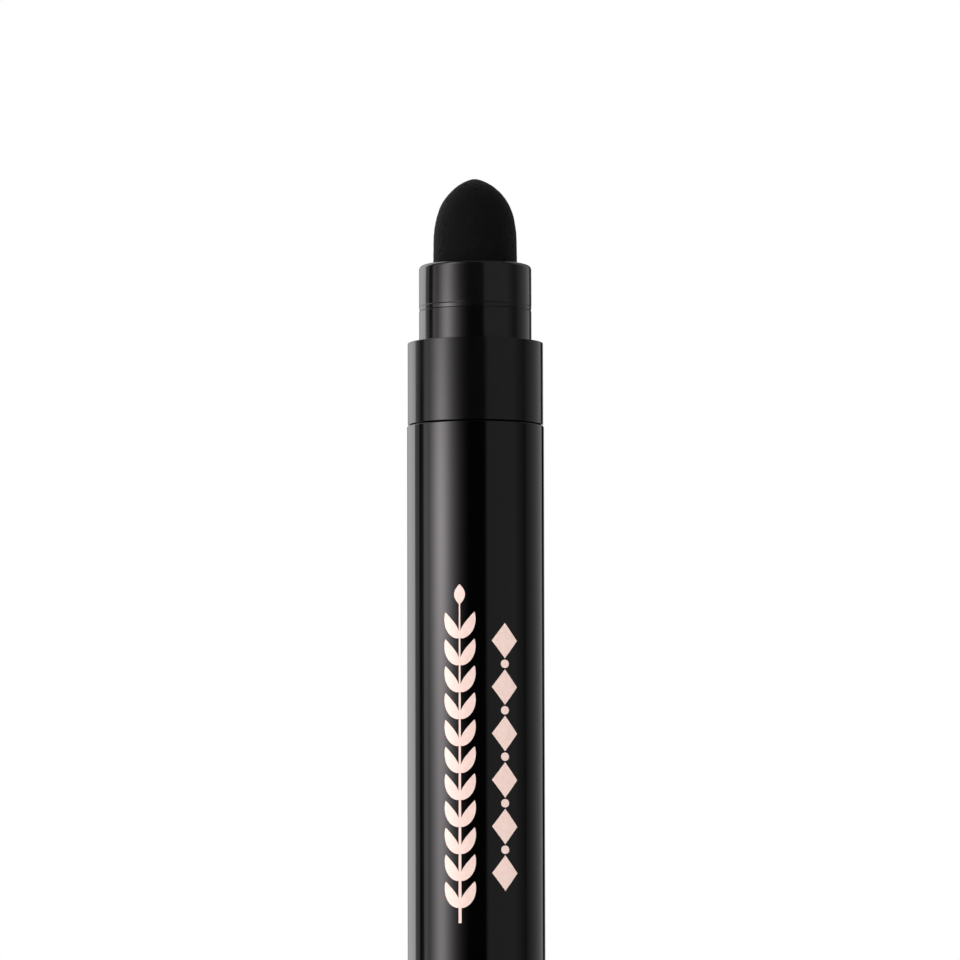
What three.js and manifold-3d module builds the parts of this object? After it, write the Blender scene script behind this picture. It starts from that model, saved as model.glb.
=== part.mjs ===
// Retractable eyeliner pencil with a foam smudger, standing in its push-on cap with the lead end down.
// Twisting the collar turns a spiral sleeve inside the barrel. Its two grooves drive the lugs of a rod along
// a slotted guide, and the rod pushes the lead out of the nose cone.
// Millimetres, +Z up, origin in the middle of the cap's flat end.

import * as THREE from "three";
import { mergeVertices } from "three/addons/utils/BufferGeometryUtils.js";
import Module from "manifold-3d";

const wasm = await Module();
wasm.setup();

// Clearances
const pressGap = 0.05; // all round a piece that is pressed or glued into another
const seatGap = 0.03; // under a piece that sits on a ledge
const slideGap = 0.1; // all round a piece that slides in a bore
const turnGap = 0.1; // all round a piece that turns in a bore
const endPlay = 0.3; // along the axis at the end of a moving piece
const seamGap = 0.1; // where cap, barrel and collar meet outside
const capGap = 0.2; // between the neck and the cap's liner
const ringGap = 0.08; // between a sealing ring and the wall that it rubs on
const grooveGap = 0.15; // each side of a lug in its spiral groove

// Lead, cup and rod
const leadDiameter = 2.4;
const leadPointLength = 2.0;
const leadPointRadius = 0.35; // at the blunt end of the point
const leadRecess = 0.5; // how far the wound-back lead lies inside the nose
const leadTravel = 24;
const turnsForTravel = 3;
const cupWall = 0.5;
const cupGrip = 4; // length of lead inside the cup
const cupBase = 1.5;
const clawSlit = 0.5;
const pegDiameter = 1.7;
const pegLength = 2.5;
const lugDiameter = 1.0;
const rodEnd = 0.5; // rod above its lugs

// Guide tube, spiral sleeve and drive tube
const guideWall = 0.65;
const grooveDepth = 0.45;
const sleeveBack = 0.4; // wall behind the grooves
const sleeveLip = 0.7; // plain stretch of the sleeve below its grooves
const headFloor = 1; // closed end of the sleeve, under the socket
const hexFlats = 3.0; // across the flats of the drive tube
const hexBore = 1.4;
const headSocket = 4; // depth of the hexagonal socket in the sleeve's head
const stopRingHeight = 1.5;
const stopRingGap = 0.4; // round the drive tube, where it passes the stop ring

// Barrel, neck and nose
const barrelWall = 0.95;
const barrelLength = 74;
const barrelEdge = 0.06; // bevel round both ends
const neckWall = 0.65;
const neckLength = 7;
const neckEdge = 0.25;
const insertLength = 6; // neck sleeve inside the barrel
const neckRingHeight = 3.2; // middle of the ring groove above the neck's lower end
const neckRingDepth = 0.35;
const neckRingWidth = 0.7;
const noseWall = 0.5;
const noseLength = 12;
const noseSocket = 4; // guide tube inside the nose
const noseShoulder = 0.6; // straight nose below that socket
const noseTipWall = 0.6;
const noseTipRound = 0.3;
const tipLand = 2.5; // length of the lead's own hole
const tipFunnel = 0.6; // slope from that hole to the wider bore

// Lead cap
const linerWall = 0.4;
const linerFloor = 0.6;
const linerDrop = 0.8; // liner's mouth below the cap's rim
const linerLeadIn = 0.2;
const capEndWall = 1.0;
const capEndLip = 0.65; // width of the ledge that holds the end plug
const capEndRound = 0.5;
const plugFlange = 1.0;
const capEndRoom = 1.4; // below the lead when it is wound right out

// Rear bush and stem
const bushWall = 0.5;
const bushLength = 8;
const bushRecess = 0.3; // bush below the barrel's end
const stemTail = 1.7; // stem below the bush
const stemSocket = 5; // depth of its hexagonal socket
const stemEdge = 0.2;
const beadHeight = 0.18; // snap bead round the stem
const beadWidth = 0.8;
const beadRise = 2; // middle of the bead above the bush's lower end
const stemRingDrop = 2; // middle of the ring groove below the bush's upper end
const stemRingDepth = 0.5;
const stemRingWidth = 0.8;

// Collar, spigot and foam
const collarStep = 0.05; // collar's surface inside the barrel's
const collarHeight = 5.4;
const collarEdge = 0.06;
const collarFloor = 1.0; // ledge that carries the holder
const shoulderWidth = 0.75; // ledge that a cover would seat on
const spigotHeight = 5.14;
const ferruleHeight = 3.06;
const ferruleLip = 0.6; // rim of the ferrule above the holder's neck
const ferruleWall = 0.45;
const holderNeckWall = 0.37; // holder inside the ferrule
const ferruleRound = 0.33;
const ringLineEdge = 0.06; // bevels that make the two fine ring lines
const ringLineRise = 0.28; // upper line above the lower one, which is the joint
const socketDepth = 3.8;
const foamHeight = 5.77;
const foamFlank = 3.7; // power that keeps the foam's sides straight
const foamNose = 0.68; // power that rounds its end

// Facets
const outerSides = 32;
const innerSides = 24;
const ringSides = 8;
const lugSides = 12;
const grooveSteps = 24; // per turn
const roundSteps = 3;
const foamSteps = 9;
const weldDistance = 1e-4;

// Radii, from the lead outwards
const leadRadius = leadDiameter / 2;
const cupBore = leadRadius + pressGap;
const cupRadius = cupBore + cupWall;
const guideBore = cupRadius + slideGap;
const guideRadius = guideBore + guideWall;
const sleeveBore = guideRadius + turnGap;
const grooveRadius = sleeveBore + grooveDepth;
const sleeveRadius = grooveRadius + sleeveBack;
const barrelBore = sleeveRadius + turnGap;
const barrelRadius = barrelBore + barrelWall;
const insertRadius = barrelBore - pressGap;
const neckBore = guideRadius + pressGap;
const neckRadius = neckBore + neckWall;
const linerBore = neckRadius + capGap;
const linerRadius = linerBore + linerWall;
const capBore = linerRadius + pressGap;
const leadHole = leadRadius + slideGap;
const hexCorner = hexFlats / Math.sqrt(3);
const hexSocketCorner = (hexFlats + 2 * pressGap) / Math.sqrt(3);

// Radii of the smudger end, from the outside inwards
const bushBore = insertRadius - bushWall;
const stemRadius = bushBore - turnGap;
const beadRadius = stemRadius + beadHeight;
const collarRadius = barrelRadius - collarStep;
const spigotRadius = collarRadius - shoulderWidth;
const ferruleBore = spigotRadius - ferruleWall;
const holderNeck = ferruleBore - pressGap;
const foamSocket = holderNeck - holderNeckWall;
const foamRadius = foamSocket - pressGap;

// Spiral grooves: a lug's path, and the run beyond each end that lets the whole lug in
const lugRadius = lugDiameter / 2;
const grooveLead = leadTravel / turnsForTravel;
const grooveSlope = Math.atan(grooveLead / (2 * Math.PI * sleeveBore));
const grooveWidth = (lugDiameter + 2 * grooveGap) / Math.cos(grooveSlope);
const overrunAngle = (lugRadius + 2 * grooveGap) / sleeveBore;
const overrunDrop = (overrunAngle / (2 * Math.PI)) * grooveLead;

// Heights, from the cap's end upwards
const plugTop = capEndWall + seatGap + plugFlange;
const linerLow = plugTop + seatGap;
const leadPointOut = linerLow + linerFloor + capEndRoom;
const leadPoint = leadPointOut + leadTravel;
const noseTip = leadPoint - leadRecess;
const neckLow = noseTip + noseLength + seatGap;
const barrelLow = neckLow + neckLength;
const capLength = barrelLow - seamGap;
const barrelTop = barrelLow + barrelLength;
const sleeveLow = barrelLow + insertLength + endPlay;
const lugOut = sleeveLow + sleeveLip + overrunDrop + grooveWidth / 2;
const lugHeight = lugOut + leadTravel;
const rodTop = lugHeight + lugRadius + rodEnd;
const guideLow = noseTip + noseLength - noseSocket + seatGap;
const guideTop = rodTop + endPlay;
const slotLow = lugOut - lugRadius - endPlay;
const chamberTop = guideTop + endPlay;
const sleeveTop = chamberTop + headFloor + headSocket;
const driveLow = chamberTop + headFloor + seatGap;
const cupLow = noseTip + tipLand + tipFunnel + endPlay + leadTravel;
const rodLow = cupLow + cupGrip + cupBase + seatGap;
const bushTop = barrelTop - bushRecess;
const bushLow = bushTop - bushLength;
const beadMiddle = bushLow + beadRise;
const stemRingMiddle = bushTop - stemRingDrop;
const stemLow = bushLow - stemTail;
const collarLow = barrelTop + seamGap;
const holderShoulder = collarLow + collarFloor + seatGap;
const collarTop = collarLow + collarHeight;
const spigotTop = collarTop + spigotHeight;
const ferruleLow = spigotTop - ferruleHeight;
const socketFloor = spigotTop - socketDepth;

// Turns [radius, height] points about Z. The material lies to the left of the profile's direction.
function turned(profile, sides) {
  const points = profile.map(([radius, height]) => new THREE.Vector2(radius, height));
  return new THREE.LatheGeometry(points, sides).rotateX(Math.PI / 2);
}

// Arc in the profile plane, with angles in degrees from the outward direction
function arc(centreRadius, centreHeight, radius, from, to, steps) {
  const points = [];
  for (let step = 0; step <= steps; step += 1) {
    const angle = THREE.MathUtils.degToRad(from + ((to - from) * step) / steps);
    points.push([centreRadius + radius * Math.cos(angle), centreHeight + radius * Math.sin(angle)]);
  }
  return points;
}

// Plain ring with square edges
function ring(bore, radius, height, sides) {
  return turned([[bore, 0], [radius, 0], [radius, height], [bore, height], [bore, 0]], sides);
}

// Sealing ring of round section, centred on height 0
function sealingRing(innerRadius, outerRadius) {
  const sectionRadius = (outerRadius - innerRadius) / 2;
  const middle = innerRadius + sectionRadius;
  return turned(arc(middle, 0, sectionRadius, 0, 360, ringSides), innerSides);
}

// Hexagonal prism along Z, standing on height 0
function hexagon(corner, height) {
  const prism = new THREE.CylinderGeometry(corner, corner, height, 6);
  return prism.rotateX(Math.PI / 2).translate(0, 0, height / 2);
}

// Bar of rectangular section wound down a helix, in the shape of one spiral groove, from inside the sleeve's
// bore to the groove's floor. The wound-back lug is at startAngle and height 0, and the path sinks as the
// angle grows.
function spiralBar(startAngle) {
  const sweep = 2 * Math.PI * turnsForTravel + 2 * overrunAngle;
  const steps = Math.ceil((sweep / (2 * Math.PI)) * grooveSteps);
  const corners = [[guideRadius, -1], [grooveRadius, -1], [grooveRadius, 1], [guideRadius, 1]];
  const positions = [];
  const index = [];
  for (let step = 0; step <= steps; step += 1) {
    const turn = (sweep * step) / steps - overrunAngle;
    const angle = startAngle + turn;
    const middle = (-turn / (2 * Math.PI)) * grooveLead;
    for (const [radius, side] of corners) {
      positions.push(radius * Math.cos(angle), radius * Math.sin(angle), middle + (side * grooveWidth) / 2);
    }
  }
  for (let step = 0; step < steps; step += 1) {
    for (let corner = 0; corner < 4; corner += 1) {
      const here = 4 * step + corner;
      const beside = 4 * step + ((corner + 1) % 4);
      index.push(here, here + 4, beside + 4, here, beside + 4, beside);
    }
  }
  const last = 4 * steps;
  index.push(0, 1, 2, 0, 2, 3);
  index.push(last, last + 2, last + 1, last, last + 3, last + 2);
  const geometry = new THREE.BufferGeometry();
  geometry.setAttribute("position", new THREE.Float32BufferAttribute(positions, 3));
  geometry.setIndex(index);
  return geometry;
}

// Closed geometry to solid, without the needle faces that a profile leaves where it meets the axis
function solidOf(geometry) {
  const bare = geometry.clone();
  bare.deleteAttribute("normal");
  bare.deleteAttribute("uv");
  const welded = mergeVertices(bare, weldDistance);
  const corners = welded.getIndex().array;
  const triVerts = [];
  for (let first = 0; first < corners.length; first += 3) {
    const [a, b, c] = corners.slice(first, first + 3);
    if (a !== b && b !== c && c !== a) {
      triVerts.push(a, b, c);
    }
  }
  const vertProperties = welded.getAttribute("position").array;
  const mesh = new wasm.Mesh({ numProp: 3, vertProperties, triVerts: Uint32Array.from(triVerts) });
  return new wasm.Manifold(mesh);
}

function geometryOf(solid) {
  const { vertProperties, triVerts } = solid.getMesh();
  const geometry = new THREE.BufferGeometry();
  geometry.setAttribute("position", new THREE.BufferAttribute(vertProperties, 3));
  geometry.setIndex(new THREE.BufferAttribute(triVerts, 1));
  geometry.computeVertexNormals();
  return geometry;
}

function cutFrom(geometry, ...cutters) {
  let solid = solidOf(geometry);
  for (const cutter of cutters) {
    solid = solid.subtract(solidOf(cutter));
  }
  return geometryOf(solid);
}

// Finishes
function glossBlack() {
  return new THREE.MeshStandardMaterial({ color: 0x0b0b0c, roughness: 0.12, metalness: 0 });
}

function satinBlack() {
  return new THREE.MeshStandardMaterial({ color: 0x121214, roughness: 0.4, metalness: 0 });
}

function naturalAcetal() {
  return new THREE.MeshStandardMaterial({ color: 0xe6e3da, roughness: 0.45, metalness: 0 });
}

function blackRubber() {
  return new THREE.MeshStandardMaterial({ color: 0x161616, roughness: 0.75, metalness: 0 });
}

function blackFoam() {
  return new THREE.MeshStandardMaterial({ color: 0x1a1a1c, roughness: 1, metalness: 0 });
}

function blackWax() {
  return new THREE.MeshStandardMaterial({ color: 0x0e0d0f, roughness: 0.55, metalness: 0 });
}

function place(group, name, geometry, material, height) {
  const mesh = new THREE.Mesh(geometry, material);
  mesh.name = name;
  mesh.position.z = height;
  group.add(mesh);
}

// Lead cap

function capShell() {
  const roundMiddle = barrelRadius - capEndRound;
  const endHole = capBore - capEndLip;
  return turned([
    [endHole, 0],
    ...arc(roundMiddle, capEndRound, capEndRound, -90, 0, roundSteps),
    [barrelRadius, capLength - barrelEdge],
    [barrelRadius - barrelEdge, capLength],
    [capBore, capLength],
    [capBore, capEndWall],
    [endHole, capEndWall],
    [endHole, 0],
  ], outerSides);
}

function capEndPlug() {
  const discRadius = capBore - capEndLip - pressGap;
  const flangeRadius = capBore - pressGap;
  const flangeLow = capEndWall + seatGap;
  return turned([
    [0, 0],
    [discRadius, 0],
    [discRadius, flangeLow],
    [flangeRadius, flangeLow],
    [flangeRadius, plugTop],
    [0, plugTop],
  ], outerSides);
}

function capLiner() {
  const length = capLength - linerDrop - linerLow;
  return turned([
    [0, 0],
    [linerRadius, 0],
    [linerRadius, length],
    [linerBore + linerLeadIn, length],
    [linerBore, length - linerLeadIn],
    [linerBore, linerFloor],
    [0, linerFloor],
  ], innerSides);
}

// Lead, cup and rod

function lead() {
  const length = cupLow + cupGrip - seatGap - leadPoint;
  return turned([
    [0, 0],
    [leadPointRadius, 0],
    [leadRadius, leadPointLength],
    [leadRadius, length],
    [0, length],
  ], innerSides);
}

function leadCup() {
  const rear = cupGrip + cupBase;
  const pegRadius = pegDiameter / 2;
  const body = turned([
    [0, cupGrip],
    [cupBore, cupGrip],
    [cupBore, 0],
    [cupRadius, 0],
    [cupRadius, rear],
    [pegRadius, rear],
    [pegRadius, rear + pegLength],
    [0, rear + pegLength],
  ], innerSides);
  const slit = new THREE.BoxGeometry(4 * cupRadius, clawSlit, 2 * cupGrip - 2 * clawSlit);
  const crossSlit = slit.clone().rotateZ(Math.PI / 2);
  return cutFrom(body, slit, crossSlit);
}

function pushRod() {
  const length = rodTop - rodLow;
  const pegHole = pegDiameter / 2 + pressGap;
  const holeDepth = pegLength + seatGap;
  const shaft = turned([
    [0, holeDepth],
    [pegHole, holeDepth],
    [pegHole, 0],
    [cupRadius, 0],
    [cupRadius, length],
    [0, length],
  ], innerSides);
  const reach = Math.sqrt((grooveRadius - turnGap) ** 2 - lugRadius ** 2);
  const lugs = new THREE.CylinderGeometry(lugRadius, lugRadius, 2 * reach, lugSides);
  lugs.rotateZ(Math.PI / 2).translate(0, 0, lugHeight - rodLow);
  return geometryOf(solidOf(shaft).add(solidOf(lugs)));
}

// Nose, neck and barrel

function noseCone() {
  const socketRadius = guideRadius + pressGap;
  const straightRadius = socketRadius + noseWall;
  const socketLow = noseLength - noseSocket;
  const tipRadius = leadHole + noseTipWall;
  return turned([
    [leadHole, 0],
    ...arc(tipRadius - noseTipRound, noseTipRound, noseTipRound, -90, 0, roundSteps),
    [straightRadius, socketLow - noseShoulder],
    [straightRadius, noseLength],
    [socketRadius, noseLength],
    [socketRadius, socketLow],
    [guideBore, socketLow],
    [guideBore, tipLand + tipFunnel],
    [leadHole, tipLand],
    [leadHole, 0],
  ], outerSides);
}

function neckSleeve() {
  const ringFloor = neckRadius - neckRingDepth;
  const ringLow = neckRingHeight - neckRingWidth / 2;
  const ringHigh = neckRingHeight + neckRingWidth / 2;
  const length = neckLength + insertLength;
  return turned([
    [neckBore, 0],
    [neckRadius - neckEdge, 0],
    [neckRadius, neckEdge],
    [neckRadius, ringLow],
    [ringFloor, ringLow],
    [ringFloor, ringHigh],
    [neckRadius, ringHigh],
    [neckRadius, neckLength],
    [insertRadius, neckLength],
    [insertRadius, length],
    [neckBore, length],
    [neckBore, 0],
  ], outerSides);
}

function neckORing() {
  return sealingRing(neckRadius - neckRingDepth + seatGap, linerBore - ringGap);
}

function guideTube() {
  const length = guideTop - guideLow;
  const slotLength = guideTop - slotLow;
  const slot = new THREE.BoxGeometry(4 * guideRadius, lugDiameter + 2 * slideGap, 2 * slotLength);
  slot.translate(0, 0, length);
  return cutFrom(ring(guideBore, guideRadius, length, innerSides), slot);
}

function barrelTube() {
  return turned([
    [barrelBore, 0],
    [barrelRadius - barrelEdge, 0],
    [barrelRadius, barrelEdge],
    [barrelRadius, barrelLength - barrelEdge],
    [barrelRadius - barrelEdge, barrelLength],
    [barrelBore, barrelLength],
    [barrelBore, 0],
  ], outerSides);
}

function sleeveStopRing() {
  return ring(hexCorner + stopRingGap, insertRadius, stopRingHeight, innerSides);
}

function rearBush() {
  const grooveFloor = beadRadius + turnGap;
  const grooveLow = beadRise - beadWidth / 2 - endPlay;
  const grooveHigh = beadRise + beadWidth / 2 + endPlay;
  return turned([
    [bushBore, 0],
    [insertRadius, 0],
    [insertRadius, bushLength],
    [bushBore, bushLength],
    [bushBore, grooveHigh],
    [grooveFloor, grooveHigh],
    [grooveFloor, grooveLow],
    [bushBore, grooveLow],
    [bushBore, 0],
  ], innerSides);
}

// Spiral sleeve and drive tube

function spiralSleeve() {
  const length = sleeveTop - sleeveLow;
  const chamber = chamberTop - sleeveLow;
  const body = turned([
    [0, chamber],
    [sleeveBore, chamber],
    [sleeveBore, 0],
    [sleeveRadius, 0],
    [sleeveRadius, length],
    [0, length],
  ], innerSides);
  const socket = hexagon(hexSocketCorner, 2 * headSocket).translate(0, 0, length - headSocket);
  const lugRise = lugHeight - sleeveLow;
  const grooves = [0, Math.PI].map((startAngle) => spiralBar(startAngle).translate(0, 0, lugRise));
  return cutFrom(body, socket, ...grooves);
}

function driveTube() {
  const length = stemLow + stemSocket - seatGap - driveLow;
  const boreRadius = hexBore / 2;
  const bore = new THREE.CylinderGeometry(boreRadius, boreRadius, 4 * length, lugSides).rotateX(Math.PI / 2);
  return cutFrom(hexagon(hexCorner, length), bore);
}

// Collar, spigot and foam

function smudgerHolder() {
  const beadLow = beadMiddle - beadWidth / 2 - stemLow;
  const beadHigh = beadMiddle + beadWidth / 2 - stemLow;
  const ringFloor = stemRadius - stemRingDepth;
  const ringLow = stemRingMiddle - stemRingWidth / 2 - stemLow;
  const ringHigh = stemRingMiddle + stemRingWidth / 2 - stemLow;
  const shoulder = holderShoulder - stemLow;
  const ferruleSeat = ferruleLow - stemLow;
  const neckTop = spigotTop - ferruleLip - seatGap - stemLow;
  const body = turned([
    [0, 0],
    [stemRadius - stemEdge, 0],
    [stemRadius, stemEdge],
    [stemRadius, beadLow],
    [beadRadius, beadLow + beadHeight],
    [beadRadius, beadHigh],
    [stemRadius, beadHigh],
    [stemRadius, ringLow],
    [ringFloor, ringLow],
    [ringFloor, ringHigh],
    [stemRadius, ringHigh],
    [stemRadius, shoulder],
    [spigotRadius, shoulder],
    [spigotRadius, ferruleSeat - ringLineEdge],
    [spigotRadius - ringLineEdge, ferruleSeat],
    [holderNeck, ferruleSeat],
    [holderNeck, neckTop],
    [foamSocket, neckTop],
    [foamSocket, socketFloor - stemLow],
    [0, socketFloor - stemLow],
  ], outerSides);
  const socket = hexagon(hexSocketCorner, 2 * stemSocket).translate(0, 0, -stemSocket);
  return cutFrom(body, socket);
}

function dampingORing() {
  return sealingRing(stemRadius - stemRingDepth + seatGap, bushBore - ringGap);
}

function twistCollar() {
  const bore = spigotRadius + pressGap;
  const stemHole = stemRadius + pressGap;
  return turned([
    [stemHole, 0],
    [collarRadius - collarEdge, 0],
    [collarRadius, collarEdge],
    [collarRadius, collarHeight - collarEdge],
    [collarRadius - collarEdge, collarHeight],
    [bore, collarHeight],
    [bore, collarFloor],
    [stemHole, collarFloor],
    [stemHole, 0],
  ], outerSides);
}

function tipFerrule() {
  const height = ferruleHeight - seatGap;
  const lipLow = height - ferruleLip;
  return turned([
    [ferruleBore, 0],
    [spigotRadius - ringLineEdge, 0],
    [spigotRadius, ringLineEdge],
    [spigotRadius, ringLineRise - ringLineEdge],
    [spigotRadius - ringLineEdge, ringLineRise],
    [spigotRadius, ringLineRise + ringLineEdge],
    ...arc(spigotRadius - ferruleRound, height - ferruleRound, ferruleRound, 0, 90, roundSteps),
    [foamSocket, height],
    [foamSocket, lipLow],
    [ferruleBore, lipLow],
    [ferruleBore, 0],
  ], outerSides);
}

// The foam's outline keeps straight flanks and rounds over to a blunt end
function smudgerTip() {
  const root = socketDepth - seatGap;
  const profile = [[0, 0], [foamRadius, 0]];
  for (let step = 0; step <= foamSteps; step += 1) {
    const rise = 1 - (1 - step / foamSteps) ** 2;
    const radius = foamRadius * (1 - rise ** foamFlank) ** foamNose;
    profile.push([radius, root + rise * foamHeight]);
  }
  return turned(profile, outerSides);
}

// Assembly
const leadCap = new THREE.Group();
place(leadCap, "cap_shell", capShell(), glossBlack(), 0);
place(leadCap, "cap_end_plug", capEndPlug(), satinBlack(), 0);
place(leadCap, "cap_liner", capLiner(), naturalAcetal(), linerLow);

const barrel = new THREE.Group();
place(barrel, "barrel_tube", barrelTube(), glossBlack(), barrelLow);
place(barrel, "neck_sleeve", neckSleeve(), satinBlack(), neckLow);
place(barrel, "neck_o_ring", neckORing(), blackRubber(), neckLow + neckRingHeight);
place(barrel, "nose_cone", noseCone(), glossBlack(), noseTip);
place(barrel, "guide_tube", guideTube(), naturalAcetal(), guideLow);
place(barrel, "sleeve_stop_ring", sleeveStopRing(), naturalAcetal(), sleeveTop + endPlay);
place(barrel, "rear_bush", rearBush(), naturalAcetal(), bushLow);

const knob = new THREE.Group();
place(knob, "spiral_sleeve", spiralSleeve(), naturalAcetal(), sleeveLow);
place(knob, "drive_tube", driveTube(), naturalAcetal(), driveLow);
place(knob, "damping_o_ring", dampingORing(), blackRubber(), stemRingMiddle);
place(knob, "smudger_holder", smudgerHolder(), glossBlack(), stemLow);
place(knob, "twist_collar", twistCollar(), glossBlack(), collarLow);
place(knob, "tip_ferrule", tipFerrule(), glossBlack(), ferruleLow + seatGap);
place(knob, "smudger_tip", smudgerTip(), blackFoam(), socketFloor + seatGap);

const leadCarriage = new THREE.Group();
place(leadCarriage, "push_rod", pushRod(), naturalAcetal(), rodLow);
place(leadCarriage, "lead_cup", leadCup(), naturalAcetal(), cupLow);
place(leadCarriage, "lead", lead(), blackWax(), leadPoint);

barrel.add(knob, leadCarriage);
leadCap.add(barrel);

export default leadCap;
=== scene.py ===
import math

import bmesh
import bpy
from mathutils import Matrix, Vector, noise


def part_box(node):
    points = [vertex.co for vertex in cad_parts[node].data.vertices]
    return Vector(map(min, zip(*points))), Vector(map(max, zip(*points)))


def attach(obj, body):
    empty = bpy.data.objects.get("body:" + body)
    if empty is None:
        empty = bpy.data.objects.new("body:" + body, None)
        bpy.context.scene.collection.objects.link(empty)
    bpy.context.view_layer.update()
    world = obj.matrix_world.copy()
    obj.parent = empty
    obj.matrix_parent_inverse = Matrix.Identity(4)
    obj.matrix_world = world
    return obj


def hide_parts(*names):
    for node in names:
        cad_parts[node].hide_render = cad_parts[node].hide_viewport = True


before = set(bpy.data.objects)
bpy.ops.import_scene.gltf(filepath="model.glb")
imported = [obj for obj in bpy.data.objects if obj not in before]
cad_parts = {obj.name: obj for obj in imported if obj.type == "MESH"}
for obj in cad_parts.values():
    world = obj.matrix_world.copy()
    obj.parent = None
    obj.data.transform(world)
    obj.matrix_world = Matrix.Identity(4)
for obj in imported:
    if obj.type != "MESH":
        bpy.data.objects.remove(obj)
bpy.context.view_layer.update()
mm = 0.001
mixA, mixB, mixOut = 6, 7, 2  # sockets of a Mix node: its two colours and its result
print("frame loaded,", len(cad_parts), "nodes")


# sRGB hex to the linear colour that a shader takes
def linear(hexColour):
    parts = [int(hexColour[i:i + 2], 16) / 255 for i in (1, 3, 5)]
    return (*[c / 12.92 if c <= 0.04045 else ((c + 0.055) / 1.055) ** 2.4 for c in parts], 1)


# one node: its inputs are values or sockets to link from, the rest are its own settings
def addNode(tree, kind, inputs=None, **settings):
    node = tree.nodes.new(kind)
    for name, value in settings.items():
        setattr(node, name, value)
    for socket, value in (inputs or {}).items():
        if isinstance(value, bpy.types.NodeSocket):
            tree.links.new(value, node.inputs[socket])
        else:
            node.inputs[socket].default_value = value
    return node


def emptyMaterial(name):
    material = bpy.data.materials.new(name)
    material.use_nodes = True
    material.node_tree.nodes.clear()
    return material, material.node_tree


# radius, lowest and highest point of a turned node, in mm
def spanOf(node):
    low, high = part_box(node)
    return high.x / mm, low.z / mm, high.z / mm


# even shares from 0 to 1
def shares(steps):
    return [i / steps for i in range(steps + 1)]


# corners are (radius, height, rounding) in mm, walked once along the wall
def roundCorners(corners, steps=6):
    points = []
    for i, (radius, height, rounding) in enumerate(corners):
        here = Vector((radius, height))
        if rounding == 0:
            points.append(here)
            continue
        before = (Vector(corners[i - 1][:2]) - here).normalized()
        after = (Vector(corners[(i + 1) % len(corners)][:2]) - here).normalized()
        half = before.angle(after) / 2
        centre = here + (before + after).normalized() * rounding / math.sin(half)
        first = here + before * rounding / math.tan(half) - centre
        last = here + after * rounding / math.tan(half) - centre
        sweep = first.angle(last)
        for part in shares(steps):
            lean = first * math.sin((1 - part) * sweep) + last * math.sin(part * sweep)
            points.append(centre + lean / math.sin(sweep))
    return points


# points along a line, evenly spaced, both ends kept
def evenPoints(points, spacing):
    lengths = [(b - a).length for a, b in zip(points, points[1:])]
    count = math.ceil(sum(lengths) / spacing)
    out, index, start = [points[0]], 0, 0.0
    for step in range(1, count):
        goal = sum(lengths) * step / count
        while start + lengths[index] < goal:
            start += lengths[index]
            index += 1
        out.append(points[index].lerp(points[index + 1], (goal - start) / lengths[index]))
    return out + [points[-1]]


# a finished bmesh becomes a piece in the scene
def pieceFrom(name, bm):
    mesh = bpy.data.meshes.new(name)
    bm.to_mesh(mesh)
    bm.free()
    piece = bpy.data.objects.new(name, mesh)
    bpy.context.collection.objects.link(piece)
    return piece


# How finely pieces are turned
turning = {
    "sides": 192, "onAxis": 1e-4,  # points round, mm within which a point lies on the axis
    "sharpAngle": 32,  # degrees at which an edge is kept sharp
}


# turns a wall's (radius, height) points in mm about Z; a point on the axis becomes one vertex
def turnedPiece(name, wall, closed=True, sides=turning["sides"], shape=None):
    bm = bmesh.new()
    rings = []
    for radius, height in wall:
        count = sides if radius > turning["onAxis"] else 1
        angles = [2 * math.pi * i / sides for i in range(count)]
        spots = [Vector((radius * math.cos(a), radius * math.sin(a), height)) for a in angles]
        rings.append([bm.verts.new((shape(p) if shape else p) * mm) for p in spots])
    pairs = list(zip(rings, rings[1:])) + ([(rings[-1], rings[0])] if closed else [])
    for below, above in pairs:
        for i in range(sides):
            j = (i + 1) % sides
            corners = [below[i % len(below)], below[j % len(below)],
                       above[j % len(above)], above[i % len(above)]]
            bm.faces.new(list(dict.fromkeys(corners)))
    bmesh.ops.recalc_face_normals(bm, faces=bm.faces)
    for face in bm.faces:
        face.smooth = True
    for edge in bm.edges:
        edge.smooth = edge.calc_face_angle(0) < math.radians(turning["sharpAngle"])
    piece = pieceFrom(name, bm)
    # keeps long walls flat beside small roundings
    evenShade = piece.modifiers.new("evenShade", "WEIGHTED_NORMAL")
    evenShade.keep_sharp = True
    return piece


def dress(piece, material, body, slot, *nodes):
    piece.data.materials.append(material)
    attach(piece, body)
    if nodes:
        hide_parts(*nodes)


# Camera: level with the lower half of the barrel, looking a little up at the smudger end
cameraSet = {
    "aim": 117.1,  # mm up the pencil, at the middle of the picture
    "distance": 560.0,  # mm
    "lookUp": 5.1,  # degrees
    "sidestep": 0.183,  # mm, puts the pencil left of the middle
    "roll": 0.12,  # degrees
    "viewWidth": 62.95,  # mm across the picture at the pencil
    "sensor": 36,  # mm
    "nearest": 0.01, "farthest": 20,  # metres
}


def placeCamera(c):
    camera = bpy.data.cameras.new("camera")
    camera.sensor_width = c["sensor"]
    camera.lens = camera.sensor_width * c["distance"] / c["viewWidth"]
    camera.clip_start, camera.clip_end = c["nearest"], c["farthest"]
    eye = bpy.data.objects.new("camera", camera)
    bpy.context.collection.objects.link(eye)
    up = math.radians(c["lookUp"])
    aim = Vector((c["sidestep"], 0, c["aim"]))
    eye.location = (aim - Vector((0, math.cos(up), math.sin(up))) * c["distance"]) * mm
    eye.rotation_euler = (math.pi / 2 + up, math.radians(c["roll"]), 0)
    bpy.context.scene.camera = eye


placeCamera(cameraSet)
bpy.context.scene.view_settings.view_transform = "Standard"
print("camera placed")


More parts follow.
